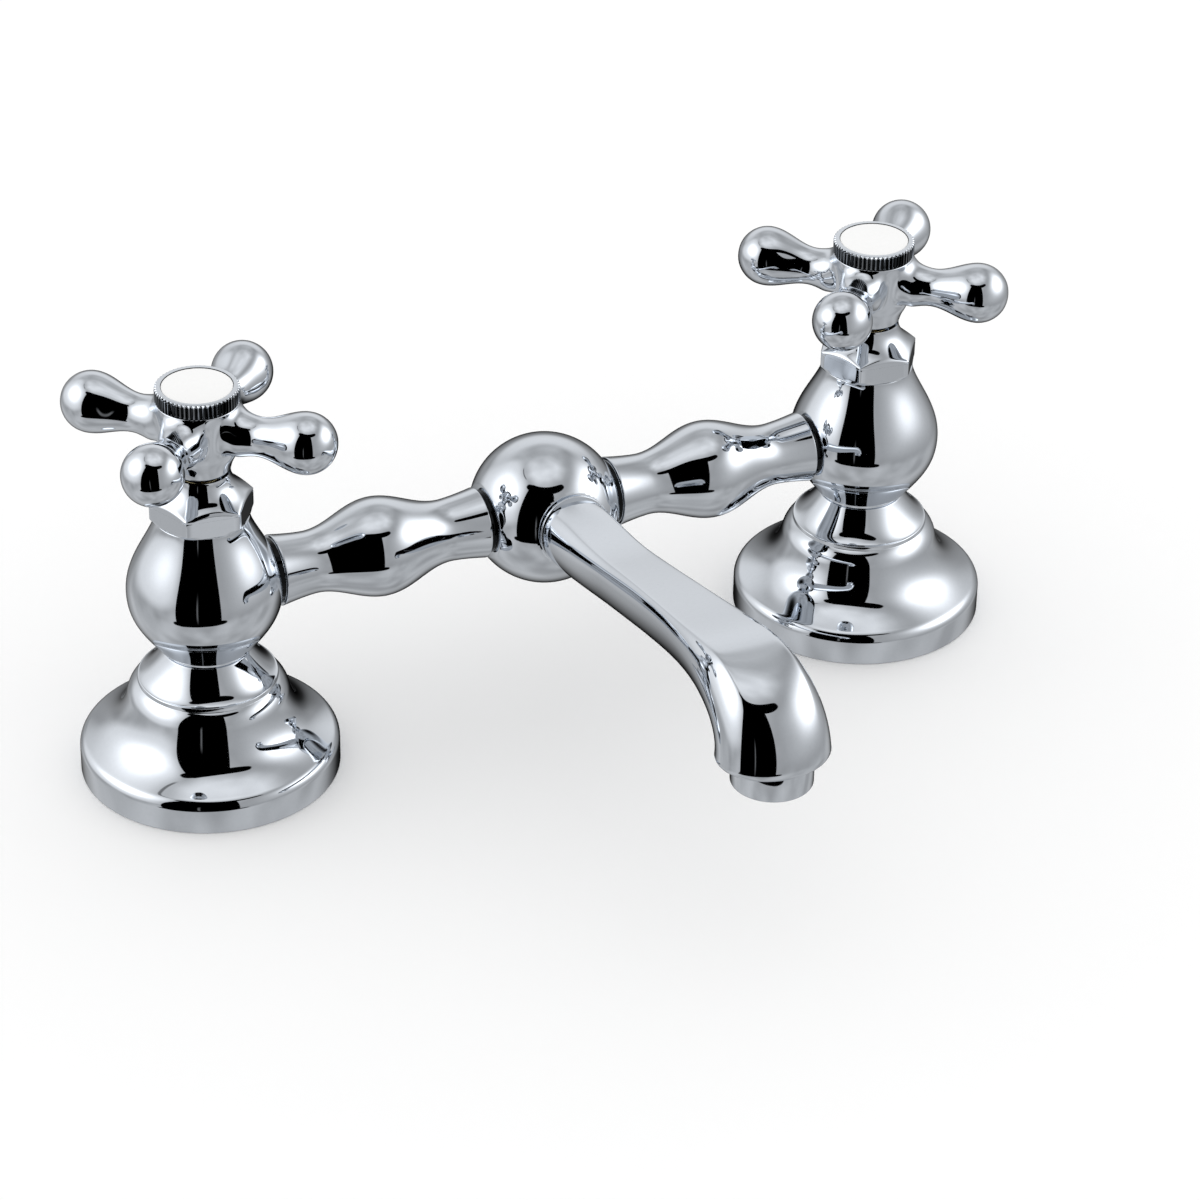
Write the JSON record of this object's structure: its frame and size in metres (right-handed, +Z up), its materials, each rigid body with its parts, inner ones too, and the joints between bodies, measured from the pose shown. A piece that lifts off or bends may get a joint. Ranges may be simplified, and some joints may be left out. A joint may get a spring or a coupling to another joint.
{
  "type": "bridge basin tap",
  "caption": "Deck mounted bridge basin tap with bell flanges, bulbous valve bodies, a turned baluster bridge, a curved cast spout and cross handles with white index discs.",
  "frame": {"origin": "the point midway between the two inlets on the mounting surface, where the flanges rest", "axes": "+Z up from the mounting surface, X along the bridge with the hot side at -X and the cold side at +X, spout towards -Y; metres"},
  "size_m": [0.275, 0.1866, 0.1193],
  "materials": {
    "chrome": "polished chrome plate on cast brass",
    "brass": "machined brass",
    "steel": "plain stainless steel",
    "rubber": "moulded rubber",
    "porcelain": "white glaze",
    "ceramic": "lapped ceramic",
    "plastic": "moulded plastic"
  },
  "bodies": {
    "tap": {"hot_cover_nut": "chrome", "cold_cover_nut": "chrome", "hot_cartridge_body": "brass", "cold_cartridge_body": "brass", "hot_cartridge_seal": "rubber", "cold_cartridge_seal": "rubber", "hot_fixed_disc": "ceramic", "cold_fixed_disc": "ceramic", "hot_seat_seal": "rubber", "cold_seat_seal": "rubber", "hot_valve_body": "chrome", "cold_valve_body": "chrome", "hot_flange": "chrome", "cold_flange": "chrome", "hot_flange_gasket": "rubber", "cold_flange_gasket": "rubber", "hot_bridge_arm": "chrome", "cold_bridge_arm": "chrome", "hot_arm_seals": "rubber", "cold_arm_seals": "rubber", "centre_body": "chrome", "spout": "chrome", "spout_seal": "rubber", "aerator_housing": "chrome", "aerator_insert": "plastic", "aerator_washer": "rubber"},
    "hot_handle": {"hot_cross_handle": "chrome", "hot_handle_screw": "steel", "hot_index_cap": "chrome", "hot_index_button": "porcelain", "hot_spindle": "brass", "hot_spindle_clip": "steel", "hot_spindle_seal": "rubber", "hot_moving_disc": "ceramic"},
    "cold_handle": {"cold_cross_handle": "chrome", "cold_handle_screw": "steel", "cold_index_cap": "chrome", "cold_index_button": "porcelain", "cold_spindle": "brass", "cold_spindle_clip": "steel", "cold_spindle_seal": "rubber", "cold_moving_disc": "ceramic"}
  },
  "joints": [
    {"name": "hot_handle_turn", "type": "hinge", "parent": "tap", "child": "hot_handle", "pos_m": [-0.1016, 0, 0.108], "axis": [0, 0, 1], "range_deg": [0, 90]},
    {"name": "cold_handle_turn", "type": "hinge", "parent": "tap", "child": "cold_handle", "pos_m": [0.1016, 0, 0.108], "axis": [0, 0, 1], "range_deg": [0, 90]}
  ]
}
